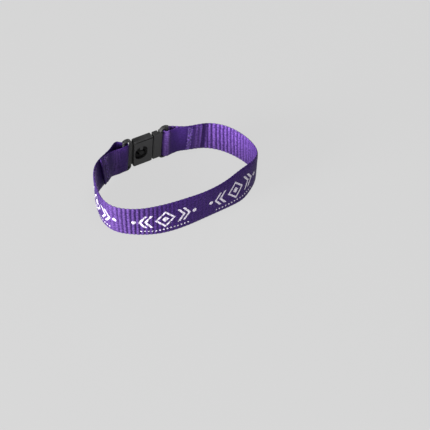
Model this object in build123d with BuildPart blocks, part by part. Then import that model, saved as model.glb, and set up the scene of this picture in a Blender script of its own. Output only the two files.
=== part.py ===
"""Woven wristband: a closed loop of ribbed webbing with a breakaway clasp at its back.

Frame: millimetres, +Z up, origin on the floor under the middle of the loop. The clasp is at
the back (+Y) and runs along X, and the printed face of the webbing looks outwards. The band
stands on its lower edge. The ears of the clasp reach below the webbing, so the back of the
band is a little off the floor, and the whole band is tipped forward by that much.
"""

from build123d import *
from collections import namedtuple
from math import asin, cos, radians, sin, tan
import os

# Webbing. The loop's depth runs from its front to the middle plane of the clasp.
strap_width = 16.0
strap_thickness = 1.0
ply_gap = 0.2
loop_length = 73.7
loop_depth = 44.7
loop_steps = 44

# How far along the strap from its bar each tab lies against it. The last is the cut end. The
# left tab is folded askew: at its rim it reaches further than at its foot, by this share.
left_tab = (9.2, 10.6, 12.4, 16.0)
left_skew = 0.125
right_tab = (6.8, 9.2, 12.6, 16.4)
tab_steps = 8

# Clasp along the loop, measured from the seam between its two halves
seam_offset = 1.65
seam_gap = 0.5
socket_length = 9.1
plug_length = 2.65
groove_width = 0.7
rim_width = 0.8
slot_width = 1.95
bar_diameter = 1.5
bar_wrap_gap = 0.25

# Clasp across the webbing and through its thickness
clasp_lean = 8.5
body_height = 14.8
body_thickness = 3.2
body_corner = 0.7
edge_round = 0.35
plug_height = 14.4
plug_thickness = 2.8
seam_bevel = 0.3
frame_thickness = 1.6
frame_corner = 2.3
slot_corner = 0.8
ear_overhang = 0.55
bar_root = 0.4
ear_thickness = 0.7
ear_gap_above = 0.95
ear_gap_below = 0.2
neck_height = 12.4
groove_depth = 1.05
line_from_edge = 0.3
line_width = 0.4
line_depth = 0.6

# Tongue of the plug, and the pocket and window of the socket
pocket_height = 10.2
pocket_length = 8.4
pocket_thickness = 2.0
tongue_gap = 0.25
tongue_length = 8.2
tongue_thickness = 1.0
tongue_tip_height = 7.4
hook_corner = 1.2
hook_mouth = 1.5
window_length = 6.0
window_height = 7.4
window_corner = 2.8
window_from_seam = 5.8
stop_length = 1.5
stop_height = 1.9
stop_corner = 0.5
post_diameter = 2.2
post_from_seam = 5.4
post_drop = 0.5
post_gap = 0.9
post_height = 2.3

# Points that the middle line of the loop runs through, anticlockwise from the left of the
# clasp. The rim is the upper edge and the foot the lower one. A rim point's place is a share
# of the loop's length from its middle and a share of its depth from its front, and its foot
# stands off by shares of the strap's width.
LoopPoint = namedtuple("LoopPoint", "along across foot_along foot_across")
LOOP_POINTS = [
    LoopPoint(-0.186, 1.044, -0.01, 0.07),
    LoopPoint(-0.234, 1.009, -0.07, 0.05),
    LoopPoint(-0.307, 0.940, -0.05, -0.04),
    LoopPoint(-0.387, 0.852, 0.02, -0.01),
    LoopPoint(-0.451, 0.653, 0.02, -0.03),
    LoopPoint(-0.482, 0.452, 0.07, -0.01),
    LoopPoint(-0.466, 0.290, 0.07, 0.11),
    LoopPoint(-0.391, 0.163, 0.06, 0.09),
    LoopPoint(-0.291, 0.091, 0.06, 0.02),
    LoopPoint(-0.130, 0.043, 0.03, 0.00),
    LoopPoint(0.043, 0.026, 0.00, 0.06),
    LoopPoint(0.219, 0.076, 0.00, -0.04),
    LoopPoint(0.320, 0.132, -0.06, -0.13),
    LoopPoint(0.401, 0.172, -0.07, -0.04),
    LoopPoint(0.461, 0.249, -0.02, 0.03),
    LoopPoint(0.483, 0.407, 0.05, 0.04),
    LoopPoint(0.463, 0.612, 0.05, 0.03),
    LoopPoint(0.413, 0.770, 0.03, 0.08),
    LoopPoint(0.325, 0.871, 0.01, 0.16),
    LoopPoint(0.233, 0.914, 0.00, 0.19),
    LoopPoint(0.176, 0.966, 0.00, 0.17),
]

# Sizes worked out from those above
fold_radius = bar_diameter / 2 + bar_wrap_gap + strap_thickness / 2
ply_pitch = strap_thickness + ply_gap
slot_height = strap_width + ear_gap_above + ear_gap_below
clasp_rise = (ear_gap_above - ear_gap_below) / 2
frame_height = slot_height + 2 * ear_thickness
socket_face = -seam_gap / 2
socket_end = socket_face - socket_length
socket_rim = socket_end - groove_width - rim_width
socket_bar = socket_rim - slot_width - bar_diameter / 2
plug_face = seam_gap / 2
plug_end = plug_face + plug_length
plug_rim = plug_end + groove_width + rim_width
plug_bar = plug_rim + slot_width + bar_diameter / 2
lean = radians(clasp_lean)
ear_drop = (frame_height / 2 - clasp_rise) * cos(lean) + frame_thickness / 2 * sin(lean)
tilt = asin((ear_drop - strap_width / 2 * cos(lean)) / loop_depth)
band_lean = lean - tilt
rim_height = strap_width * cos(band_lean)


def loop_point(point, level):
    """A point of the loop's middle line at the foot (level 0) or at the rim (level 1)."""
    foot = (1 - level) * strap_width
    along = point.along * loop_length + point.foot_along * foot
    return Vector(along, point.across * loop_depth + point.foot_across * foot)


def fold_ends(bar, level):
    """The ends of the fold about a clasp's bar: the printed ply's, then the tab's."""
    across = loop_depth + (0.5 - level) * rim_height * tan(band_lean)
    middle = Vector(seam_offset + bar, across)
    return middle + Vector(0, fold_radius), middle - Vector(0, fold_radius)


def tab_line(printed, fold_end, distances):
    """A tab's middle line: from its fold it runs inside the printed ply, to its cut end."""
    mode = PositionMode.LENGTH
    places = [printed.position_at(distance, position_mode=mode) for distance in distances]
    runs = [printed.tangent_at(distance, position_mode=mode) for distance in distances]
    points = [at + run.rotate(Axis.Z, 90) * ply_pitch for at, run in zip(places, runs)]
    side = 1 if fold_end.X > points[0].X else -1
    ends = [(-side, 0), runs[-1] * side]
    return Spline(fold_end, *points, tangents=ends, tangent_scalars=(1, 1))


def face_line(line, shift, steps):
    """A face of the webbing: the middle line moved to its left by half the thickness."""
    shares = [step / steps for step in range(steps + 1)]
    points = [(line @ share) + (line % share).rotate(Axis.Z, 90) * shift for share in shares]
    return Spline(*points, tangents=[line % 0, line % 1], tangent_scalars=(1, 1))


def strap_outline(level):
    """The edges of the strap's profile at one level, with its tabs, folds and cut ends."""
    half = strap_thickness / 2
    left_out, left_in = fold_ends(socket_bar, level)
    right_out, right_in = fold_ends(plug_bar, level)
    points = [loop_point(point, level) for point in LOOP_POINTS]
    ends = [(-1, 0), (-1, 0)]
    printed = Spline(left_out, *points, right_out, tangents=ends, tangent_scalars=(1, 1))
    askew = 1 + (level - 0.5) * left_skew
    left = tab_line(printed, left_in, [along * askew for along in left_tab])
    right = tab_line(printed, right_in, [printed.length - along for along in right_tab])
    outline = [face_line(printed, shift, loop_steps) for shift in (half, -half)]
    for tab, out, side in ((left, left_out, 1), (right, right_out, -1)):
        faces = [face_line(tab, shift, tab_steps) for shift in (half, -half)]
        cut = ThreePointArc(faces[0] @ 1, (tab @ 1) + (tab % 1) * half, faces[1] @ 1)
        outline += [*faces, cut]
        middle = ((tab @ 0) + out) / 2
        for radius in (fold_radius - half, fold_radius + half):
            rise = Vector(0, radius)
            reach = Vector(side * radius, 0)
            outline.append(ThreePointArc(middle - rise, middle + reach, middle + rise))
    return [edge for line in outline for edge in line.edges()]


# The loop's own middle is put over the origin, and its front edge on the floor.
foot_outline = strap_outline(0)
rim_outline = strap_outline(1)
foot_box = Wire(foot_outline).bounding_box()
rim_box = Wire(rim_outline).bounding_box()
middle_along = (min(foot_box.min.X, rim_box.min.X) + max(foot_box.max.X, rim_box.max.X)) / 2
middle_across = (rim_box.min.Y - rim_height * sin(tilt) + foot_box.max.Y) / 2
band_plane = Plane(
    origin=(-middle_along, -middle_across, -foot_box.min.Y * sin(tilt)),
    x_dir=(1, 0, 0),
    z_dir=(0, -sin(tilt), cos(tilt)),
)
clasp_plane = Plane(
    origin=band_plane.from_local_coords((seam_offset, loop_depth, rim_height / 2))
    + Vector(0, -sin(lean), cos(lean)) * clasp_rise,
    x_dir=(1, 0, 0),
    z_dir=(0, -cos(lean), -sin(lean)),
)
os.makedirs("parts", exist_ok=True)

# The strap is one length of webbing: round the loop, through both folds and back as tabs.
with BuildPart() as band:
    for outline, height in ((foot_outline, 0), (rim_outline, rim_height)):
        with BuildSketch(band_plane.offset(height)):
            with BuildLine():
                add(outline)
            make_face()
    loft(ruled=True)
band.part.label = "band"
export_step(band.part, "parts/band.step")


def frame_shape(rim, bar):
    """The frame that the strap folds round: a rim strip and two ears past the bar."""
    side = 1 if bar > rim else -1
    start = rim - side * rim_width
    end = bar + side * (bar_diameter / 2 + ear_overhang)
    with BuildSketch(clasp_plane.offset(-frame_thickness / 2)) as frame:
        with Locations(((start + end) / 2, 0)):
            RectangleRounded(abs(end - start), frame_height, frame_corner)
        with Locations((rim + side * slot_height / 2, 0)):
            RectangleRounded(slot_height, slot_height, slot_corner, mode=Mode.SUBTRACT)
    return frame.sketch


def bar_end(bar):
    """The round end of a bar, inside the lower ear."""
    foot = clasp_plane.from_local_coords((bar, -slot_height / 2 - bar_root, 0))
    with BuildSketch(Plane(origin=foot, x_dir=(1, 0, 0), z_dir=clasp_plane.y_dir)) as end:
        Circle(bar_diameter / 2)
    return end.sketch


# Socket: a rounded case with the rim and ears of its frame behind a neck.
with BuildPart() as clasp_socket:
    with BuildSketch(clasp_plane.offset(-body_thickness / 2)):
        with Locations(((socket_face + socket_end) / 2, 0)):
            RectangleRounded(socket_length, body_height, body_corner)
    extrude(amount=body_thickness)
    fillet(clasp_socket.faces().filter_by(clasp_plane).edges(), edge_round)
    # A fine groove runs along the upper edge of the wrist side.
    with BuildSketch(clasp_plane.offset(body_thickness / 2 - line_depth)):
        with Locations((0, body_height / 2 - line_from_edge - line_width / 2)):
            Rectangle(2 * (socket_length - socket_face), line_width)
    extrude(amount=line_depth, mode=Mode.SUBTRACT)
    with BuildSketch(clasp_plane.offset(groove_depth - body_thickness / 2)):
        with Locations((socket_end - groove_width / 2, 0)):
            Rectangle(groove_width + 2 * edge_round, neck_height)
    extrude(amount=body_thickness - 2 * groove_depth)
    extrude(frame_shape(socket_rim, socket_bar), amount=frame_thickness)
    extrude(bar_end(socket_bar), amount=slot_height + 2 * bar_root)
    # The pocket opens at the seam.
    with BuildSketch(clasp_plane.offset(-pocket_thickness / 2)):
        with Locations((socket_face - pocket_length / 2, 0)):
            Rectangle(pocket_length, pocket_height)
    extrude(amount=pocket_thickness, mode=Mode.SUBTRACT)
    # The window is in the wrist side only. A stop reaches into it from its upper edge, and the
    # post stands near its middle.
    with BuildSketch(clasp_plane):
        with Locations((-window_from_seam, 0)):
            RectangleRounded(window_length, window_height, window_corner)
        with Locations((-window_from_seam, window_height / 2)):
            RectangleRounded(stop_length, 2 * stop_height, stop_corner, mode=Mode.SUBTRACT)
    extrude(amount=body_thickness, mode=Mode.SUBTRACT)
    with BuildSketch(clasp_plane.offset(-pocket_thickness / 2)):
        with Locations((-post_from_seam, -post_drop)):
            Circle(post_diameter / 2)
    extrude(amount=post_height)
clasp_socket.part.label = "clasp_socket"
export_step(clasp_socket.part, "parts/clasp_socket.step")

# Plug: a base that meets the socket, the other frame, and a hooked tongue.
with BuildPart() as clasp_plug:
    with BuildSketch(clasp_plane.offset(-plug_thickness / 2)):
        with Locations(((plug_face + plug_rim) / 2, 0)):
            Rectangle(plug_rim - plug_face, plug_height)
    extrude(amount=plug_thickness)
    chamfer(clasp_plug.edges().filter_by(Axis(clasp_plane.origin, clasp_plane.y_dir)), seam_bevel)
    # The groove is only in the outer side of the plug.
    with BuildSketch(clasp_plane.offset(-plug_thickness / 2)):
        with Locations((plug_end + groove_width / 2, 0)):
            Rectangle(groove_width, plug_height)
    extrude(amount=groove_depth, mode=Mode.SUBTRACT)
    extrude(frame_shape(plug_rim, plug_bar), amount=frame_thickness)
    extrude(bar_end(plug_bar), amount=slot_height + 2 * bar_root)
    tongue_tip = plug_face - tongue_length
    tongue_root = pocket_height / 2 - tongue_gap
    with BuildSketch(clasp_plane.offset(tongue_gap - pocket_thickness / 2)) as tongue:
        with BuildLine():
            Polyline(
                (plug_end, tongue_root), (0, tongue_root), (tongue_tip, tongue_tip_height / 2),
                (tongue_tip, -tongue_tip_height / 2), (0, -tongue_root),
                (plug_end, -tongue_root), close=True,
            )
        make_face()
        fillet(tongue.vertices().group_by(Axis.X)[0], hook_corner)
        with Locations((-post_from_seam, -post_drop)):
            Circle(post_diameter / 2 + post_gap, mode=Mode.SUBTRACT)
        with Locations((tongue_tip, -post_drop)):
            Rectangle(2 * (post_from_seam + tongue_tip), hook_mouth, mode=Mode.SUBTRACT)
    extrude(amount=tongue_thickness)
clasp_plug.part.label = "clasp_plug"
export_step(clasp_plug.part, "parts/clasp_plug.step")
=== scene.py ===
# %% [markdown]
# # A woven wristband with a breakaway clasp
# A wristband like this is one length of ribbed polyester webbing. Both its ends are folded round
# the bars of a two-part plastic clasp, laid back on the inside as tabs, and held by a bar tack, a
# dense zigzag of thread. Here the webbing is worked out as one surface with numpy, the thread is
# laid along that surface, and the clasp keeps the solid shapes that it was made with. The frame
# brings those solids in metres, with the floor at zero height and the clasp at the back.

from math import asin, cos, pi, radians, sin, tan

import bpy
import numpy as np
from mathutils import Matrix, Vector


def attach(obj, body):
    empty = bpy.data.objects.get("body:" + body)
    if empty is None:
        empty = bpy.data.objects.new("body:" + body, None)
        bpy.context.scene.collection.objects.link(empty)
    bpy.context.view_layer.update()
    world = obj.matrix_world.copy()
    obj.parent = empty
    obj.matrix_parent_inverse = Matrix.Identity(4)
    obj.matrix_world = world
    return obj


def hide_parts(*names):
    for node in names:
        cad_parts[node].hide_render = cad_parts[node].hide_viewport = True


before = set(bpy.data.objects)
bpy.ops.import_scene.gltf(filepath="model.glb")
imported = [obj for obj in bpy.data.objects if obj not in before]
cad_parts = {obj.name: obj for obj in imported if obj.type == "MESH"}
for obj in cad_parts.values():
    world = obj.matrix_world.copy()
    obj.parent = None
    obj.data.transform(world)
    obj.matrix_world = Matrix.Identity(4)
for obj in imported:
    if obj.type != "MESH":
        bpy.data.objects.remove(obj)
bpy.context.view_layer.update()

# %% [markdown]
# ## The line of the webbing
# Seen from above, the strap is a line that runs from the left bar of the clasp round the wrist to
# the right bar. It isn't a circle: cloth that was folded and pressed keeps flat stretches and
# tighter bends, and its lower edge, the foot, spreads a little differently from its upper one,
# the rim. A curve object could carry this, but it can't give the two edges different lines, so
# both are worked out from one table: the place of each point of the rim, and how far the foot
# stands off from it. Lengths are in millimetres until a mesh is made.

# %% Sizes of the webbing and its place on the clasp
STRAP_WIDTH = 16.0
STRAP_THICKNESS = 1.0
PLY_PITCH = 1.2             # from the middle of one ply to the middle of the other
LOOP_LENGTH, LOOP_DEPTH = 73.7, 44.7
SEAM = 1.65                 # the clasp's seam, to the right of the loop's middle
LEFT_BAR, RIGHT_BAR = SEAM - 13.55, SEAM + 7.1
FOLD_RADIUS = 1.5           # from a bar's middle to the middle of the webbing round it
LEFT_TAB = (9.2, 10.6, 12.4, 16.0)     # how far from its bar a tab lies on the strap
RIGHT_TAB = (6.8, 9.2, 12.6, 16.4)
LEFT_SKEW = 0.125           # the left tab reaches further at its rim, by this share
CLASP_LEAN = radians(8.5)   # the clasp's top leans in, over the wrist
EAR_DROP = 1.0084           # the clasp's ears reach this far below the webbing

tilt = asin(EAR_DROP / LOOP_DEPTH)
lean = CLASP_LEAN - tilt
rim_height = STRAP_WIDTH * cos(lean)

# Columns: place along and across the loop, as shares of its length and depth, then how far the
# foot stands off from the rim along and across, as shares of the strap's width.
LOOP_POINTS = np.array([
    (-0.186, 1.044, -0.01, 0.07), (-0.234, 1.009, -0.07, 0.05), (-0.307, 0.940, -0.05, -0.04),
    (-0.387, 0.852, 0.02, -0.01), (-0.451, 0.653, 0.02, -0.03),
    (-0.482, 0.452, 0.07, -0.01), (-0.466, 0.290, 0.07, 0.11),
    (-0.391, 0.163, 0.06, 0.09), (-0.291, 0.091, 0.06, 0.02),
    (-0.130, 0.043, 0.03, 0.00), (0.043, 0.026, 0.00, 0.06),
    (0.219, 0.076, 0.00, -0.04), (0.320, 0.132, -0.06, -0.13),
    (0.401, 0.172, -0.07, -0.04), (0.461, 0.249, -0.02, 0.03),
    (0.483, 0.407, 0.05, 0.04), (0.463, 0.612, 0.05, 0.03),
    (0.413, 0.770, 0.03, 0.08), (0.325, 0.871, 0.01, 0.16),
    (0.233, 0.914, 0.00, 0.19), (0.176, 0.966, 0.00, 0.17),
])
print("tilt %.2f degrees, rim %.2f mm above the foot" % (tilt * 180 / pi, rim_height))


# %% Smooth lines through points
def smooth_line(points, first_run, last_run, steps=4000):
    """A line through the points: a cubic in each span, as long in its parameter as the chord,
    with equal slopes and equal bends where two spans meet. The slopes solve one linear system."""
    points = np.asarray(points, float)
    chord = np.linalg.norm(np.diff(points, axis=0), axis=1)
    before, after = chord[:-1], chord[1:]
    run = np.diff(points, axis=0)
    inner = np.arange(1, len(points) - 1)
    system = np.eye(len(points))
    system[inner, inner - 1] = after
    system[inner, inner] = 2 * (before + after)
    system[inner, inner + 1] = before
    slopes = np.empty_like(points)
    slopes[0], slopes[-1] = first_run, last_run
    slopes[1:-1] = 3 * ((after / before)[:, None] * run[:-1] + (before / after)[:, None] * run[1:])
    slopes = np.linalg.solve(system, slopes)
    knots = np.append(0, np.cumsum(chord))
    place = np.linspace(0, knots[-1], steps)
    span = np.clip(np.searchsorted(knots, place, side="right") - 1, 0, len(chord) - 1)
    share = ((place - knots[span]) / chord[span])[:, None]
    length = chord[span][:, None]
    return ((1 + 2 * share) * (1 - share) ** 2 * points[span]
            + share * (1 - share) ** 2 * length * slopes[span]
            + share ** 2 * (3 - 2 * share) * points[span + 1]
            - share ** 2 * (1 - share) * length * slopes[span + 1])


def lengths(line):
    """How far along a line each of its points is."""
    return np.append(0, np.cumsum(np.linalg.norm(np.diff(line, axis=0), axis=1)))


def at_lengths(line, wanted):
    """The points of a line at the given lengths."""
    along = lengths(line)
    return np.stack([np.interp(wanted, along, line[:, axis]) for axis in range(line.shape[1])], 1)


def runs(line):
    """The direction of a line at each of its points: the step from the point before to the point
    after, made 1 long."""
    step = np.gradient(line, axis=0)
    return step / np.linalg.norm(step, axis=1, keepdims=True)


def left_of(run):
    """A direction in the plan, turned a quarter turn to the left."""
    return np.stack([-run[:, 1], run[:, 0]], 1)


# %% The five stretches of the strap at one edge
def fold_arc(bar, across, start, end):
    """A half circle about a bar, between two angles in degrees."""
    angle = np.radians(np.linspace(start, end, 400))[:, None]
    return np.array([bar, across]) + FOLD_RADIUS * np.hstack([np.cos(angle), np.sin(angle)])


def strap_stretches(level):
    """The middle line at the foot (level 0) or the rim (level 1): left tab from its cut end,
    fold, loop, fold, and right tab to its cut end."""
    foot = (1 - level) * STRAP_WIDTH
    across = LOOP_DEPTH + (0.5 - level) * rim_height * tan(lean)
    table = LOOP_POINTS[:, :2] * (LOOP_LENGTH, LOOP_DEPTH) + LOOP_POINTS[:, 2:] * foot
    ends = np.array([[LEFT_BAR, across + FOLD_RADIUS], [RIGHT_BAR, across + FOLD_RADIUS]])
    loop = smooth_line([ends[0], *table, ends[1]], (-1, 0), (-1, 0))
    whole = lengths(loop)[-1]
    run = runs(loop)
    tabs = []
    left_distances = np.array(LEFT_TAB) * (1 + (level - 0.5) * LEFT_SKEW)
    right_distances = whole - np.array(RIGHT_TAB)
    for bar, wanted, side in ((LEFT_BAR, left_distances, 1), (RIGHT_BAR, right_distances, -1)):
        direction = np.stack([np.interp(wanted, lengths(loop), run[:, axis]) for axis in (0, 1)], 1)
        points = at_lengths(loop, wanted) + left_of(direction) * PLY_PITCH
        tabs.append(smooth_line([(bar, across - FOLD_RADIUS), *points],
                                (-side, 0), side * direction[-1]))
    return [tabs[0][::-1], fold_arc(LEFT_BAR, across, -90, 90), loop,
            fold_arc(RIGHT_BAR, across, 90, 270), tabs[1]]


foot_stretches, rim_stretches = strap_stretches(0), strap_stretches(1)
stretch_lengths = [(lengths(a)[-1] + lengths(b)[-1]) / 2
                   for a, b in zip(foot_stretches, rim_stretches)]
strap_length = sum(stretch_lengths)
print("webbing %.1f mm long:" % strap_length, ["%.1f" % length for length in stretch_lengths])

# %% [markdown]
# ## The strap's own frame at each station
# A station is a distance along the strap. At each one the middle surface needs four things: a
# point on the foot, a point on the rim, the direction that the strap runs in, and the direction
# that its printed face looks in. Between foot and rim the surface is ruled, so every point comes
# from these by a weighted mean. The whole band is tipped forward by the small angle that the
# clasp's ears lift its back by.

# %% Stations, edges and directions
STATION_STEP = 0.2
BEAD_SHARES = np.array([0.0, 0.03, 0.07, 0.12, 0.18, 0.25])    # closer steps at the cut ends


def stations_of(number, length):
    """Even steps along a stretch, without its last, and closer ones where a cut end is."""
    even = np.linspace(0, length, int(round(length / STATION_STEP)) + 1)
    if number == 0:
        return np.concatenate([BEAD_SHARES, even[2:-1]])
    if number == 4:
        return np.concatenate([even[:-2], length - BEAD_SHARES[::-1]])
    return even[:-1]


starts = np.append(0, np.cumsum(stretch_lengths))
stretch_stations = [stations_of(number, length) for number, length in enumerate(stretch_lengths)]
station = np.concatenate([start + own for start, own in zip(starts, stretch_stations)])


def edge_line(stretches):
    """One edge of the strap, with each stretch sampled by its share of length."""
    parts = [at_lengths(line, own / length * lengths(line)[-1])
             for line, own, length in zip(stretches, stretch_stations, stretch_lengths)]
    return np.concatenate(parts)


foot, rim = edge_line(foot_stretches), edge_line(rim_stretches)
half = STRAP_THICKNESS / 2
outer_foot, outer_rim = (line - left_of(runs(line)) * half for line in (foot, rim))
both = np.concatenate([outer_foot, outer_rim])
middle_along = (both[:, 0].min() + both[:, 0].max()) / 2
middle_across = (outer_rim[:, 1].min() - rim_height * sin(tilt) + outer_foot[:, 1].max()) / 2
lift = -outer_foot[:, 1].min() * sin(tilt)


def in_place(line, height):
    """A line of the plan at a height of the band, turned by the tilt about the loop's front, then
    moved so that the band's middle is over the origin and its lowest edge is on the floor."""
    along, across = line[:, 0] - middle_along, line[:, 1]
    return np.stack([along, across * cos(tilt) - height * sin(tilt) - middle_across,
                     across * sin(tilt) + height * cos(tilt) + lift], 1)


foot_edge, rim_edge = in_place(foot, 0.0), in_place(rim, rim_height)
print("stations:", len(station), "middle of the loop at %.2f, %.2f" % (middle_along, middle_across))

# %% [markdown]
# ## Small liberties of real cloth
# The tabs aren't folded quite true, so each climbs a little towards its cut end. Where a bar tack
# runs, the thread pulls both plies together, and where a tab leaves its bar the ironed cloth
# stands up in a crease. Slow waves in the edges keep the strap from looking machined. All this
# could be pushed into the mesh by hand, but as smooth functions of the station the pieces stay
# in step: the stitches sink where the cloth does.


# %% Waves, ramps and humps
def ramp(value, start, end):
    """0 before start, 1 after end, and a smooth S between them."""
    share = np.clip((value - start) / (end - start), 0, 1)
    return share * share * (3 - 2 * share)


def hump(value, centre, width):
    """1 at the centre, falling to 0 as a bell of the given width."""
    return np.exp(-((value - centre) / width) ** 2)


def wander(value, period, seed):
    """A slow wave between about -1 and 1: the mean of three sines with unlike periods."""
    value = value / period * 2 * pi
    return (np.sin(value + seed) + np.sin(value * 0.618 + 2.1 * seed)
            + np.sin(value * 1.414 + 3.7 * seed)) / 3


RIGHT_TACK, LEFT_TACK = 9.9, 11.0        # from the bar, along the strap
tack_stations = {
    "left_tab": starts[1] - LEFT_TACK, "left_ply": starts[2] + LEFT_TACK,
    "right_ply": starts[3] - RIGHT_TACK, "right_tab": starts[4] + RIGHT_TACK,
}
from_left_fold = starts[1] - station
climb = (1.15 * ramp(from_left_fold, 5.5, 14.5)
         - 0.55 * hump(from_left_fold, 4.0, 3.0) * ramp(from_left_fold, 0.0, 2.0)
         + 1.1 * ramp(station - starts[4], 0.5, 9.0))
pinch = sum(hump(station, place, 1.3) for place in tack_stations.values())
crease = hump(station, starts[4], 0.6) + 0.4 * hump(station, starts[1] - 2.6, 0.6)

# %% Edges and directions, with the liberties taken
across_way = rim_edge - foot_edge
across_way /= np.linalg.norm(across_way, axis=1, keepdims=True)
foot_edge = foot_edge + across_way * (climb - 0.05 * wander(station, 21.0, 1.0))[:, None]
rim_edge = rim_edge + across_way * (climb + 0.05 * wander(station, 17.0, 2.0))[:, None]
middle = (foot_edge + rim_edge) / 2
skew = (runs(middle) * across_way).sum(1)
face_way = np.cross(runs(middle), across_way)
face_way /= np.linalg.norm(face_way, axis=1, keepdims=True)
print("tabs climb %.1f mm at most" % climb.max())

# %% [markdown]
# ## Ribs
# In this weave thick weft cords lie across the strap, and the warp threads go over and under
# them, so each cord shows as a rib on both faces. The ribs are wide enough to catch the light one
# by one and to scallop the edges, so they are real relief in the mesh. A bump in the material
# would give neither shadow nor edge. The warp threads are a third of a millimetre wide, which is
# left to the material. The rib count is kept as a vertex attribute, so that the material's
# threads change over exactly where the ribs do.
#
# The cords lie square to the strap's run. Foot and rim are paired by their share of length, which
# puts them a little askew where the strap leans, so a point's place along the cloth is its
# station plus that skew times its place across.

# %% The section of the strap
# Places across the strap in millimetres from its middle, closer together near the edges.
edge_steps = np.array([7.98, 7.93, 7.8, 7.6, 7.3, 6.9, 6.4])
flat_steps = np.linspace(-5.8, 5.8, 17)
face_across = np.concatenate([-edge_steps, flat_steps, edge_steps[::-1]])
face_count = len(face_across)
ring_across = np.concatenate([face_across, face_across[::-1]])
ring_side = np.repeat([1.0, -1.0], face_count)
printed_side = ring_side > 0
print("points round the section:", 2 * face_count)

# %% Ribs
RIB_PITCH = 1.82
RIB_HEIGHT = 0.40


def rib_count(along, across):
    """How many ribs lie before a point: its place along the cloth by the pitch, with a slow
    drift, because the cords aren't beaten up quite evenly."""
    drift = 0.10 * wander(along, 9.0, 0.4) + 0.05 * wander(along + 1.3 * across, 4.3, 1.9)
    return along / RIB_PITCH + drift


def rib_profile(count):
    """The height of a rib, from 0 in the valley to 1 on the crest: a round back between narrow
    valleys, as 1 minus a power of the distance from the crest."""
    from_crest = np.abs(2 * (count % 1.0) - 1)
    return 1 - from_crest ** 1.6


def rib_own_height(number, across):
    """About 1, but more or less for each rib, and uneven along it: products of two sines with
    unlike periods, one pair of the rib's number and one of the number and the place across."""
    return (1 + 0.25 * np.sin(number * 2.4) * np.sin(number * 0.7 + 1)
            + 0.32 * np.sin(1.9 * across + 4.1 * number) * np.sin(0.8 * across + 1.7 * number))


grid_station = station[:, None]
along_cloth = grid_station + skew[:, None] * ring_across
count = rib_count(along_cloth, ring_across[None, :])
crest = rib_profile(count)
own_height = rib_own_height(np.floor(count), ring_across)
print("ribs: %d" % int(count.max() - count.min()))

# %% [markdown]
# ## Where the cords stand out
# The print was pressed on with heat, which ironed its side of the cloth flat, and the tabs were
# ironed when they were sewn. Where the band has bent since, the cords came up again and the nap
# is paler. Two maps along the strap carry this: one for how far the cords stand out, which shapes
# the mesh, and one for the bloom and light, which goes to the material. That one also paints light
# and shade into the colour: a painted highlight on the fold at the right bar, which is pale but
# hardly ribbed, painted light on the front left where the key light falls, and painted shade on
# the inside, deepest by the left tab, with a painted shadow past the right tab's cut end. Painting
# such maps by hand would work too, but as sums of ramps and humps they follow the strap when a
# length changes.

# %% Two maps along the strap
# A share of 0 is a flat weave and 1 is full cords. Distances are in millimetres from a bar.
from_left_bar = grid_station - starts[2]
on_left_tab = starts[1] - grid_station
on_right_tab = grid_station - starts[4]
PRESSED = 0.12              # what the iron left
on_fold = hump(on_right_tab, -0.5, 1.0)
on_tabs = (0.25 * on_fold - 0.08 * ramp(on_right_tab, 1.0, 2.5)
           + 0.36 * ramp(on_right_tab, 11.0, 12.5)
           + 0.25 * hump(on_left_tab, 4.5, 1.6) + 0.25 * hump(on_left_tab, 11.5, 2.0))
front_ribs = ramp(from_left_bar, 38, 56) - ramp(from_left_bar, 50, 80)
# Painted light: the printed face is paler on the front left, where the key light falls.
front_bloom = ramp(from_left_bar, 34, 54) - ramp(from_left_bar, 44, 71)

# The inside is painted darker than its open weave, as shade, except where light falls on it: inside
# the right bend and on the wall of the left bend. The painted shade deepens near the left tab, and
# a painted shadow lies past the right tab's cut end.
shade_near_left_tab = 1 - ramp(from_left_bar, 16, 22)
inside_front = ramp(from_left_bar, 17, 25) - ramp(from_left_bar, 40, 60)
inside_right = ramp(from_left_bar, 120, 141)
shadow_past_right_tab = hump(starts[3] - grid_station, RIGHT_TAB[-1] + 1.1, 1.1)
wrist_side = (0.35 + 0.65 * (inside_right + inside_front) - 0.35 * shade_near_left_tab
              - 0.9 * shadow_past_right_tab)

depth = np.where(printed_side, PRESSED + 0.95 * front_ribs + on_tabs, wrist_side)
# The bloom and light map: the paler nap, the painted light and shade, and a painted highlight on
# the fold at the right bar.
bloom = np.where(printed_side, PRESSED + 0.85 * front_bloom + on_tabs + 0.4 * on_fold, wrist_side)
# Painted shade: the inside wall beside the left tab is darkened further through its crest value.
deepest_shade_left_inside = np.where(printed_side, 0.0, 1 - ramp(from_left_bar, 16, 23))
print("cords stand out at %d %% of the points" % (100 * (depth > 0.5).mean()))

# %% Thickness and edges
# The section is thinner beside its edges, and a melted end swells a little. The edges draw in
# between the cords and at a bar tack, by a share of half the width.
PINCH_DEPTH = 0.10
CREASE_HEIGHT = 0.30
BEAD_REACH = 0.28           # how far the melted cut end is rounded
from_end = np.minimum(grid_station, strap_length - grid_station)
bead = np.sqrt(1 - (1 - np.clip(from_end / BEAD_REACH, 0, 1)) ** 2)
relief = RIB_HEIGHT * depth * own_height * (crest - 0.75) * ramp(from_end, 0.2, 1.2)
body = half * (1 - 0.16 * hump(np.abs(ring_across), 7.4, 0.9))[None, :]
creased = np.where(printed_side, CREASE_HEIGHT * crease[:, None], 0.0)
thickness = (body + relief + creased - PINCH_DEPTH * pinch[:, None]
             + 0.05 * hump(from_end, 0.3, 0.3)) * bead
edge = np.sqrt(1 - np.abs(2 * ring_across / STRAP_WIDTH) ** 12)[None, :]
edge_depth = (depth[:, :1] + depth[:, -1:]) / 2
scallop = 1 - (0.008 + 0.022 * edge_depth) * (1 - crest) - 0.008 * pinch[:, None]
print("relief %.2f mm" % (relief.max() - relief.min()))

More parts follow.
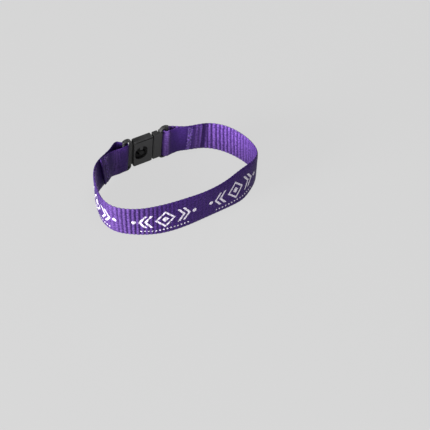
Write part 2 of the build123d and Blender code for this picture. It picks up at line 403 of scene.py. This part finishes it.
# %% [markdown]
# ## The strap's mesh
# The section is a closed ring of points: along the printed face from foot to rim, then back along
# the other face. Carried along the stations it makes a grid that closes on itself across the
# strap, and each cut end is closed with a row of faces between the two faces of the strap. The
# end is rounded like a bead, because hot-cut webbing melts a little where the knife goes through.
# A thin sheet with a Solidify modifier would be quicker, but its two faces would have the same
# relief, where the real ones differ.


# %% A grid of points as a mesh
def mesh_object(name, points, faces, **values):
    """A smooth-shaded object at the origin from points in millimetres, with named values that
    are kept on its points."""
    mesh = bpy.data.meshes.new(name)
    mesh.from_pydata((points * 0.001).tolist(), [], faces)
    for key, numbers in values.items():
        layer = mesh.attributes.new(key, "FLOAT", "POINT")
        layer.data.foreach_set("value", np.ascontiguousarray(numbers, np.float32).ravel())
    mesh.polygons.foreach_set("use_smooth", np.ones(len(mesh.polygons), bool))
    mesh.update()
    made = bpy.data.objects.new(name, mesh)
    bpy.context.scene.collection.objects.link(made)
    return made


def ring_faces(rows, ring):
    """Four-sided faces between the rings of a grid that closes on itself round the ring."""
    row, place = np.meshgrid(np.arange(rows - 1), np.arange(ring), indexing="ij")
    after = (place + 1) % ring
    corners = [row * ring + place, row * ring + after,
               (row + 1) * ring + after, (row + 1) * ring + place]
    return np.stack(corners, 2).reshape(-1, 4)


# %% Strap
across_share = (ring_across * scallop)[..., None] / STRAP_WIDTH + 0.5
points = (foot_edge[:, None] * (1 - across_share) + rim_edge[:, None] * across_share
          + face_way[:, None] * (ring_side * edge * thickness)[..., None])
ring = 2 * face_count
cap = np.arange(face_count - 1)
first_cap = np.stack([cap, ring - 1 - cap, ring - 2 - cap, cap + 1], 1)
last_cap = (len(station) - 1) * ring + first_cap[:, ::-1]
faces = np.concatenate([ring_faces(len(station), ring)[:, ::-1], first_cap[:, ::-1],
                        last_cap[:, ::-1]])
spread = np.broadcast_to
# The crest value also carries painted shade: in the rib valleys, and deepest beside the left tab.
strap = mesh_object("strap", points.reshape(-1, 3), faces.tolist(),
                    along=along_cloth,
                    across=spread(ring_across, count.shape),
                    printed=spread((ring_side + 1) / 2, count.shape),
                    ribs=count, bloom=bloom, crest=1 - (1 - crest) * depth - 0.45 * deepest_shade_left_inside)
sizes = points.reshape(-1, 3)
print("strap: %d faces," % len(faces), "from", sizes.min(0).round(2), "to", sizes.max(0).round(2))

# %% [markdown]
# ## Bar tacks
# A bar tack is sewn by a machine that swings the needle to and fro while the cloth moves under
# it, so the thread lies in a dense zigzag and dives into the cloth at each turn. It goes through
# both plies and shows on the inside of each tab and on the outside of the strap. The thread is a
# tube along a path that is worked out on the strap: its place along and across gives a point of
# the surface, and its height above it rises between two turns and sinks at them. A texture
# would do from afar, but the thread stands proud of the cloth and catches the light.

# %% Points on the strap's printed face
STITCH_SWING = 1.25         # how far the zigzag swings to each side, along the strap
STITCH_LEGS = 30
TACK_REACH = 7.35           # half of the tack's length, across the strap
THREAD_RADIUS = 0.15


def on_strap(along, across, height):
    """Points at a height above the strap's printed face: the middle surface plus the facing
    direction times half the thickness and the height."""
    def read(line):
        return np.stack([np.interp(along, station, line[:, axis]) for axis in range(3)], 1)
    share = (across / STRAP_WIDTH + 0.5)[:, None]
    surface = read(foot_edge) * (1 - share) + read(rim_edge) * share
    face_height = half - PINCH_DEPTH * np.interp(along, station, pinch)
    return surface + read(face_way) * (face_height + height)[:, None]


def zigzag(place, seed):
    """Along, across and height of a thread: it runs across the strap in even legs, swings from
    one side to the other with each as a triangle wave, and dives at the turns."""
    leg = np.linspace(0, STITCH_LEGS, STITCH_LEGS * 8 + 1)
    swing = 2 * np.abs((leg + 1) % 2 - 1) - 1
    along = place + STITCH_SWING * (1 + 0.12 * wander(leg, 5.3, seed)) * swing
    across = TACK_REACH * (2 * leg / STITCH_LEGS - 1) + 0.08 * wander(leg, 3.1, seed + 1)
    from_turn = 1 - np.abs(swing)
    height = 0.17 * ramp(from_turn, 0.0, 0.35) - 0.12
    return along, across, height


# %% A round tube along a path
THREAD_SIDES = 7
TIP_RADIUS = 0.02


def tube(path, radius, sides):
    """Rings of points about a path: each is its centre plus the radius times the cosine and sine
    round two directions square to the path. The first and last ring narrow to a tip."""
    run = runs(path)
    first = np.cross(run, (0.13, 0.29, 0.95))
    first /= np.linalg.norm(first, axis=1, keepdims=True)
    second = np.cross(run, first)
    angle = np.linspace(0, 2 * pi, sides, endpoint=False)[None, :, None]
    width = np.full(len(path), radius)
    width[[0, -1]] = TIP_RADIUS
    round_path = np.cos(angle) * first[:, None] + np.sin(angle) * second[:, None]
    return path[:, None] + width[:, None, None] * round_path


# %% The stitches of each tab
def stitches(name, places):
    """The zigzags of one bar tack as one piece: one on each side of the two plies. A fan of
    triangles closes each end of a tube."""
    all_points, all_faces, used = [], [], 0
    for seed, place in enumerate(places):
        rings = tube(on_strap(*zigzag(place, 1.0 + seed)), THREAD_RADIUS, THREAD_SIDES)
        last_ring = (len(rings) - 1) * THREAD_SIDES
        end = np.arange(1, THREAD_SIDES - 1)
        fan = np.stack([np.zeros_like(end), end, end + 1], 1)
        all_faces += (ring_faces(len(rings), THREAD_SIDES) + used).tolist()
        all_faces += (fan[:, ::-1] + used).tolist() + (fan + used + last_ring).tolist()
        all_points.append(rings.reshape(-1, 3))
        used += last_ring + THREAD_SIDES
    print(name, len(all_faces), "faces")
    return mesh_object(name, np.concatenate(all_points), all_faces)


left_stitches = stitches("left_stitches", [tack_stations["left_tab"], tack_stations["left_ply"]])
right_stitches = stitches("right_stitches",
                          [tack_stations["right_tab"], tack_stations["right_ply"]])

# %% [markdown]
# ## Shader maths
# A material's pattern is a sum of small formulas. Written as nodes one by one they can't be read,
# so one small class holds a socket and lets Python's own operators add the Math nodes. Colours go
# through Mix nodes, because a Math node would turn them grey.


# %% A number that varies over a surface
class Value:
    """One output of a shader node, with the operators that are used on it."""

    def __init__(self, finish, socket):
        self.finish, self.socket = finish, socket

    def math(self, operation, *values):
        """A Math node on values, which are numbers or other such outputs."""
        settings = {"operation": operation}
        made = self.finish.node("ShaderNodeMath", settings, dict(enumerate(values)))
        return Value(self.finish, made.outputs[0])

    def __add__(self, other):
        return self.math("ADD", self, other)

    def __sub__(self, other):
        return self.math("SUBTRACT", self, other)

    def __rsub__(self, other):
        return self.math("SUBTRACT", other, self)

    def __mul__(self, other):
        return self.math("MULTIPLY", self, other)

    def __truediv__(self, other):
        return self.math("DIVIDE", self, other)

    __radd__, __rmul__ = __add__, __mul__

    def fraction(self):
        """What is left of the value over the whole number below it."""
        return self.math("FRACT", self)

    def floor(self):
        return self.math("FLOOR", self)

    def size(self):
        return self.math("ABSOLUTE", self)

    def power(self, other):
        return self.math("POWER", self, other)

    def least(self, other):
        return self.math("MINIMUM", self, other)

    def most(self, other):
        return self.math("MAXIMUM", self, other)

    def below(self, edge, soft):
        """1 where the value is below the edge and 0 above it, with a soft change."""
        made = self.finish.node("ShaderNodeMapRange", {"interpolation_type": "SMOOTHSTEP"}, {
            "Value": self, "From Min": edge - soft, "From Max": edge + soft,
            "To Min": 1.0, "To Max": 0.0})
        return Value(self.finish, made.outputs["Result"])


# %% A material being made
class Finish:
    """A material, its node tree, and one method that makes any node of it."""

    def __init__(self, name):
        self.material = bpy.data.materials.new(name)
        self.material.use_nodes = True
        self.tree = self.material.node_tree
        self.tree.nodes.clear()

    def node(self, kind, settings, inputs):
        """A node of a kind, with its settings, then the values or links of its sockets."""
        made = self.tree.nodes.new(kind)
        for key, setting in settings.items():
            setattr(made, key, setting)
        for key, value in inputs.items():
            if isinstance(value, Value):
                value = value.socket
            if isinstance(value, bpy.types.NodeSocket):
                self.tree.links.new(value, made.inputs[key])
            else:
                made.inputs[key].default_value = value
        return made

    def kept(self, name):
        """A value that the mesh keeps on its points."""
        made = self.node("ShaderNodeAttribute", {"attribute_name": name}, {})
        return Value(self, made.outputs["Fac"])

    def vector(self, x, y, z=0.0):
        """A place from three values."""
        made = self.node("ShaderNodeCombineXYZ", {}, {0: x, 1: y, 2: z})
        return made.outputs[0]

    def noise(self, place, scale, detail=2.0):
        """A soft noise about 0.5: the scale is in waves for each unit of the place, and the
        detail says how many finer noises are added."""
        made = self.node("ShaderNodeTexNoise", {},
                         {"Vector": place, "Scale": scale, "Detail": detail})
        return Value(self, made.outputs["Fac"])

    def chance(self, place):
        """A number from 0 to 1 that is drawn anew for every whole-numbered place."""
        made = self.node("ShaderNodeTexWhiteNoise", {"noise_dimensions": "2D"}, {"Vector": place})
        return Value(self, made.outputs["Value"])

    def mix(self, share, first, second):
        """A colour between two, which are colours or links."""
        made = self.node("ShaderNodeMix", {"data_type": "RGBA"}, {0: share, 6: first, 7: second})
        return made.outputs[2]

    def inside(self, place, middle, ways):
        """1 inside a box about a point and 0 outside it. Each way is a direction with half of the
        box's size along it, and the distance along a direction is a dot product."""
        offset = self.node("ShaderNodeVectorMath", {"operation": "SUBTRACT"},
                           {0: place, 1: middle})
        share = 1.0
        for direction, reach in ways:
            along = self.node("ShaderNodeVectorMath", {"operation": "DOT_PRODUCT"},
                              {0: offset.outputs[0], 1: direction})
            share = Value(self, along.outputs["Value"]).size().below(reach, reach * 0.04) * share
        return share

    def shine(self, inputs, height, distance):
        """The surface shader: its sockets, and a bump of a height in metres over it."""
        bump = self.node("ShaderNodeBump", {}, {"Height": height, "Distance": distance})
        shader = self.node("ShaderNodeBsdfPrincipled", {},
                           {**inputs, "Normal": bump.outputs[0]})
        self.node("ShaderNodeOutputMaterial", {}, {"Surface": shader.outputs[0]})
        return self.material


# %% [markdown]
# ## White print
# The print is white ink that was pressed on the outer face alone: a row of lozenges, chevrons and
# dots, with a line of small beads under each group. It could be a picture, but a picture's dots
# blur close up. Drawn as distances it stays sharp: how far a point is from the middle of its
# group, along and across the strap, says which mark it lies in. A ring is where a distance is
# near one value, and a lozenge's distance is the sum of the two.

# %% The marks of the print
GROUP_PITCH = 34.0          # from group to group, in millimetres
GROUPS_EACH_WAY = 2         # from the middle of the front
BEAD_PITCH = 1.55
BEAD_ROW = 5.6              # from the middle of the strap to the beads
BEADS_REACH = 10.85


def print_marks(own, along, across):
    """1 on the ink and 0 beside it, from a point's place along and across the strap."""
    from_front = along - (starts[2] + starts[3]) / 2
    place = (from_front / GROUP_PITCH).fraction() * GROUP_PITCH - GROUP_PITCH / 2
    side, off_middle = place.size(), across.size()
    lozenge = side + off_middle
    frame_line = (lozenge - 3.9).size().below(0.55, 0.10)
    heart = lozenge.below(1.5, 0.10)
    arrow = side + off_middle * 0.75
    chevrons = (arrow - 8.3).size().least((arrow - 10.7).size()).below(0.55, 0.10)
    chevrons = chevrons * off_middle.below(3.4, 0.10)
    from_dot = side - 13.0
    dots = (from_dot * from_dot + across * across).power(0.5).below(0.9, 0.10)
    from_bead = (place / BEAD_PITCH).fraction() * BEAD_PITCH - BEAD_PITCH / 2
    from_row = off_middle - BEAD_ROW
    beads = (from_bead * from_bead + from_row * from_row).power(0.5).below(0.36, 0.08)
    beads = beads * side.below(BEADS_REACH, 0.1) * across.below(0.0, 0.1)
    marks = frame_line.most(heart).most(chevrons).most(dots).most(beads)
    return marks * from_front.size().below(GROUPS_EACH_WAY * GROUP_PITCH, 0.1)


print("groups in the print:", 2 * GROUPS_EACH_WAY)

# %% [markdown]
# ## Dyed webbing
# The dye is a deep violet. It looks darkest where the iron laid the threads flat and paler where
# they stand up, and the bloom and light map paints light and shade into it as well. Three things
# break it up: each float of a warp thread took a little more or less of it, painted shade darkens
# the valleys between the ribs, and fibres along the threads are uneven. A flat colour would look
# like plastic. So the colour is mixed in steps, from the bloom and light, the crest and the thread
# that a point lies on, and the ink goes on top. It sits on the ribs' backs and thins out in the
# valleys.

# %% Webbing material
WARP_PITCH = 0.36           # one warp thread, in millimetres across the strap


def webbing_finish():
    """The dye goes from flat to open by the bloom and light map, and each of the two from a dark to
    a pale tone by the fade. Painted shade darkens it in the hollows, and it is darker between the
    threads, which are bands along the strap that shift by half a band from rib to rib. The ink lies
    over it by its cover."""
    own = Finish("printed_webbing")
    along, across, ribs = own.kept("along"), own.kept("across"), own.kept("ribs")
    printed, crest, bloom = own.kept("printed"), own.kept("crest"), own.kept("bloom")
    rib = ribs.floor()
    thread = across / WARP_PITCH + (rib * 0.5).fraction()
    ridge = 1 - (thread.fraction() * 2 - 1).size().power(2.5)
    lot = own.chance(own.vector(thread.floor(), rib))
    fibre = own.noise(own.vector(along * 2.2, across * 16.0), 1.0, 3.0)
    cloud = own.noise(own.vector(along * 0.16, across * 0.2), 1.0)
    fleck = own.noise(own.vector(along, across * 1.9), 1.0, 2.0)
    fade = 0.35 * lot + 0.15 * fibre + 0.20 * cloud + 3.0 * (fleck - 0.5) + 0.17
    flat = own.mix(fade, (0.0170, 0.0058, 0.063, 1), (0.0280, 0.0098, 0.093, 1))
    bloomed = own.mix(fade, (0.048, 0.019, 0.120, 1), (0.178, 0.090, 0.345, 1))
    fresh = own.mix(fade, (0.046, 0.016, 0.130, 1), (0.172, 0.078, 0.370, 1))
    # On the printed face the pale colour also stands for painted light where the key light falls.
    dyed = own.mix(bloom, flat, own.mix(printed, fresh, bloomed))
    # Painted shade in the valleys between the ribs.
    valley_shade = (1 - crest).power(1.1) * (0.98 + 0.12 * printed)
    dyed = own.mix(valley_shade, dyed, (0.0095, 0.0034, 0.037, 1))
    dyed = own.mix((1 - ridge) * 0.35, dyed, (0.018, 0.007, 0.055, 1))

    cover = 0.80 + 0.20 * crest - 0.22 * fibre - 0.15 * (1 - ridge)
    ink = print_marks(own, along, across) * (1 - printed.below(0.5, 0.3)) * cover
    colour = own.mix(ink, dyed, (0.63, 0.59, 0.66, 1))
    height = 0.55 * ridge + 0.30 * fibre + 0.20 * lot
    return own.shine({
        "Base Color": colour, "Roughness": 0.50 + 0.14 * fibre - 0.10 * ridge + 0.1 * ink,
        "Coat Weight": 0.40 * (bloom * crest).power(2.0), "Coat Roughness": 0.42,
        "Specular IOR Level": 0.05, "Sheen Weight": 0.012, "Sheen Roughness": 0.40,
        "Sheen Tint": (0.62, 0.50, 0.95, 1)}, height, 0.00010)


strap.data.materials.append(webbing_finish())

# %% [markdown]
# ## Thread
# Bonded polyester thread is twisted, a shade lighter than the cloth and a bit glossier. Real
# strands would take far more faces than their width is worth here, so a fine noise stands for the
# twist, and a coarser one for the places where the thread is worn dark.


# %% Thread material
def thread_finish():
    """From a dark to a pale violet by the coarse noise, with a little of the fine one."""
    own = Finish("stitching_thread")
    place = own.node("ShaderNodeTexCoord", {}, {}).outputs["Object"]
    twist = own.noise(place, 5200.0, 1.0)
    worn = own.noise(place, 1500.0, 2.0)
    colour = own.mix(3.2 * worn + 0.4 * twist - 1.50, (0.016, 0.006, 0.055, 1),
                     (0.165, 0.075, 0.400, 1))
    return own.shine({"Base Color": colour, "Roughness": 0.42 + 0.15 * twist}, twist, 0.00004)


thread = thread_finish()
for piece in (left_stitches, right_stitches):
    piece.data.materials.append(thread)

# %% [markdown]
# ## Moulded clasp
# The clasp is black acetal with a fine spark-eroded matt face. It is a solid of the frame, so its
# shape stays as it is. A weld joins its loose triangles, a narrow bevel breaks its sharp edges,
# and its material adds the grain, faint handling marks and an uneven gloss. Little light gets
# into its window and its grooves, so they are painted near black, as shade. They could have a
# material of their own, but the solid has no separate faces for it, so boxes in the clasp's own
# directions find them.


# %% The clasp's directions and where shade is painted
CLASP_RISE = 0.375          # the clasp's middle sits this far above the webbing's
outwards = np.array([0.0, -cos(CLASP_LEAN), -sin(CLASP_LEAN)])
upwards = np.array([0.0, -sin(CLASP_LEAN), cos(CLASP_LEAN)])
sideways = np.array([-1.0, 0.0, 0.0])
seam_middle, = in_place(np.array([[SEAM, LOOP_DEPTH]]), rim_height / 2)
seam_middle += CLASP_RISE * upwards


def region(sideways_size, upwards_size, outwards_size):
    """The middle of a box on the clasp and its three ways, in metres, from its ends in millimetres,
    which are counted from the middle of the seam: to the left, up and towards the wrist."""
    middle, ways = seam_middle.copy(), []
    for way, (start, end) in ((sideways, sideways_size), (upwards, upwards_size),
                              (outwards, outwards_size)):
        middle += way * (start + end) / 2
        ways.append((way.tolist(), (end - start) * 0.0005))
    return (middle * 0.001).tolist(), ways


# The window, the fine line along the top, and the groove between the case and its frame,
# which are painted near black as shade
WINDOW = region((2.5, 9.1), (-4.1, 4.1), (-1.1, 1.42))
TOP_LINE = region((0.2, 9.2), (6.60, 7.20), (0.90, 1.7))
GROOVE = region((9.15, 9.95), (-7.1, 7.1), (-1.4, 1.3))
print("middle of the seam:", seam_middle.round(2))


# %% Clasp material
def clasp_finish():
    """Between two near blacks by a slow noise, paler where two noises are both high, which makes
    the handling marks, and painted near black inside the boxes, as shade."""
    own = Finish("black_moulding")
    place = own.node("ShaderNodeTexCoord", {}, {}).outputs["Object"]
    grain = own.noise(place, 9000.0, 3.0)
    patch = own.noise(place, 320.0, 3.0)
    stretched = own.node("ShaderNodeMapping", {}, {
        "Vector": place, "Rotation": (0.0, 0.5, 0.2), "Scale": (260.0, 900.0, 5200.0)})
    scuff = own.noise(stretched.outputs[0], 1.0, 2.0)
    marks = (1 - scuff.below(0.66, 0.05)) * (1 - patch.below(0.52, 0.10))
    colour = own.mix(patch, (0.012, 0.012, 0.0125, 1), (0.020, 0.020, 0.0205, 1))
    colour = own.mix(marks * 0.30, colour, (0.045, 0.045, 0.047, 1))
    # Painted shade: the window, the top line and the groove are made near black.
    recess_shade = own.inside(place, *WINDOW).most(own.inside(place, *TOP_LINE))
    recess_shade = recess_shade.most(own.inside(place, *GROOVE))
    colour = own.mix(recess_shade, colour, (0.002, 0.002, 0.002, 1))
    rough = 0.46 + 0.16 * patch + 0.10 * grain - 0.10 * marks + 0.3 * recess_shade
    return own.shine({"Base Color": colour, "Roughness": rough, "Specular IOR Level": 0.36},
                     0.8 * grain + 0.2 * scuff, 0.000018)


# %% Clasp edges
moulding = clasp_finish()
for node in ("clasp_socket", "clasp_plug"):
    half_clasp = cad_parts[node]
    half_clasp.data.materials.clear()
    half_clasp.data.materials.append(moulding)
    weld = half_clasp.modifiers.new("join", "WELD")
    weld.merge_threshold = 0.000001
    bevel = half_clasp.modifiers.new("broken_edges", "BEVEL")
    bevel.width, bevel.segments, bevel.limit_method = 0.00012, 2, "ANGLE"
    bevel.angle_limit = radians(38)
    bevel.harden_normals = True
    print(node, "edges broken by %.2f mm" % (bevel.width * 1000))

# %% [markdown]
# ## The band's pieces on one body
# Every piece rides on the one body. The strap stands for the solid band, which is hidden.

# %% Pieces on the frame
for piece in (strap, left_stitches, right_stitches):
    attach(piece, "root")
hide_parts("band")

# %% [markdown]
# ## Camera
# The picture was taken from the front left, about 42 degrees above the floor, with a long lens.
# The camera leans a third of a degree to one side. It could be aimed with a constraint, but three
# angles and a distance say more plainly where it stands, and they give its directions as
# formulas: the look from the height and the turn, and the way up from the lean.

# %% Camera
CAMERA_DISTANCE, CAMERA_HEIGHT, CAMERA_TURN = 548.2, radians(42.445), radians(31.244)
CAMERA_ROLL = radians(-0.363)
AIM_ALONG, AIM_ACROSS = 7.748, 1.398     # on the floor, from the loop's middle and its front
aim = np.array([AIM_ALONG - middle_along, AIM_ACROSS - middle_across, 0.0])
look = np.array([sin(CAMERA_TURN) * cos(CAMERA_HEIGHT), cos(CAMERA_TURN) * cos(CAMERA_HEIGHT),
                 -sin(CAMERA_HEIGHT)])
level_way = np.array([cos(CAMERA_TURN), -sin(CAMERA_TURN), 0.0])
up_way = cos(CAMERA_ROLL) * np.cross(level_way, look) + sin(CAMERA_ROLL) * level_way
right_way = np.cross(look, up_way)
camera = bpy.data.objects.new("camera", bpy.data.cameras.new("camera"))
camera.data.lens, camera.data.sensor_width = 110.0, 36.0
camera.data.clip_start, camera.data.clip_end = 0.05, 20.0
camera.location = (aim - look * CAMERA_DISTANCE) * 0.001
camera.rotation_euler = Matrix(np.stack([right_way, up_way, -look], 1).tolist()).to_euler()
bpy.context.scene.collection.objects.link(camera)
bpy.context.scene.camera = camera
print("camera at", [round(value, 4) for value in camera.location])

# %% [markdown]
# ## Floor and light
# The band stands on a pale sheet in soft light. The main light is a panel low on the left, which
# rakes across the ribs. A wider, weaker one at the front left fills the printed side, a large one
# above lights the edges and the clasp's tops, and a faint one behind on the right lifts the
# outside of the right bend. The sheet glows like a light table, which keeps the shadows on it
# faint. A brighter room would do that too, but it would also flatten the ribs.


# %% Floor
def floor_finish():
    """A dark sheet that glows: the glow gives its pale tone, and what it reflects is so little
    that the shadows on it stay faint."""
    own = Finish("pale_sheet")
    place = own.node("ShaderNodeTexCoord", {}, {}).outputs["Object"]
    grain = own.noise(place, 40.0, 2.0)
    colour = own.mix(grain, (0.029, 0.029, 0.029, 1), (0.031, 0.031, 0.031, 1))
    return own.shine({"Base Color": colour, "Roughness": 0.9, "Specular IOR Level": 0.0,
                      "Emission Color": (1.0, 1.0, 1.0, 1), "Emission Strength": 0.632},
                     grain, 0.00001)


FLOOR_REACH = 3.0           # metres to each side
floor_mesh = bpy.data.meshes.new("floor")
floor_mesh.from_pydata([(-FLOOR_REACH, -FLOOR_REACH, 0), (FLOOR_REACH, -FLOOR_REACH, 0),
                        (FLOOR_REACH, FLOOR_REACH, 0), (-FLOOR_REACH, FLOOR_REACH, 0)],
                       [], [(0, 1, 2, 3)])
floor = bpy.data.objects.new("floor", floor_mesh)
floor_mesh.materials.append(floor_finish())
bpy.context.scene.collection.objects.link(floor)
print("floor %.0f m wide" % (2 * FLOOR_REACH))


# %% Lights
def panel(name, towards, distance, size, power):
    """A square soft light at a distance in metres from the band, in a direction from it. It faces
    back along that direction, and its size is in metres and its power in watts."""
    light = bpy.data.lights.new(name, "AREA")
    light.shape, light.size, light.energy = "SQUARE", size, power
    made = bpy.data.objects.new(name, light)
    way = Vector(towards).normalized()
    made.location = way * distance
    made.rotation_euler = way.to_track_quat("Z", "Y").to_euler()
    bpy.context.scene.collection.objects.link(made)
    print(name, "%.1f W at %.1f m" % (power, distance))


panel("key_light", (-0.98, -0.05, 0.23), 0.9, 0.30, 24.0)
panel("fill_light", (-0.74, -0.67, 0.25), 0.9, 0.40, 7.6)
panel("top_light", (0.0, -0.4, 1.0), 1.2, 0.80, 8.0)
panel("back_light", (0.88, 0.40, 0.26), 0.9, 0.40, 4.0)
world = bpy.data.worlds.new("soft_room")
world.use_nodes = True
world.node_tree.nodes["Background"].inputs["Color"].default_value = (0.95, 0.97, 1.0, 1)
world.node_tree.nodes["Background"].inputs["Strength"].default_value = 0.03
bpy.context.scene.world = world
bpy.context.scene.view_settings.view_transform = "Standard"
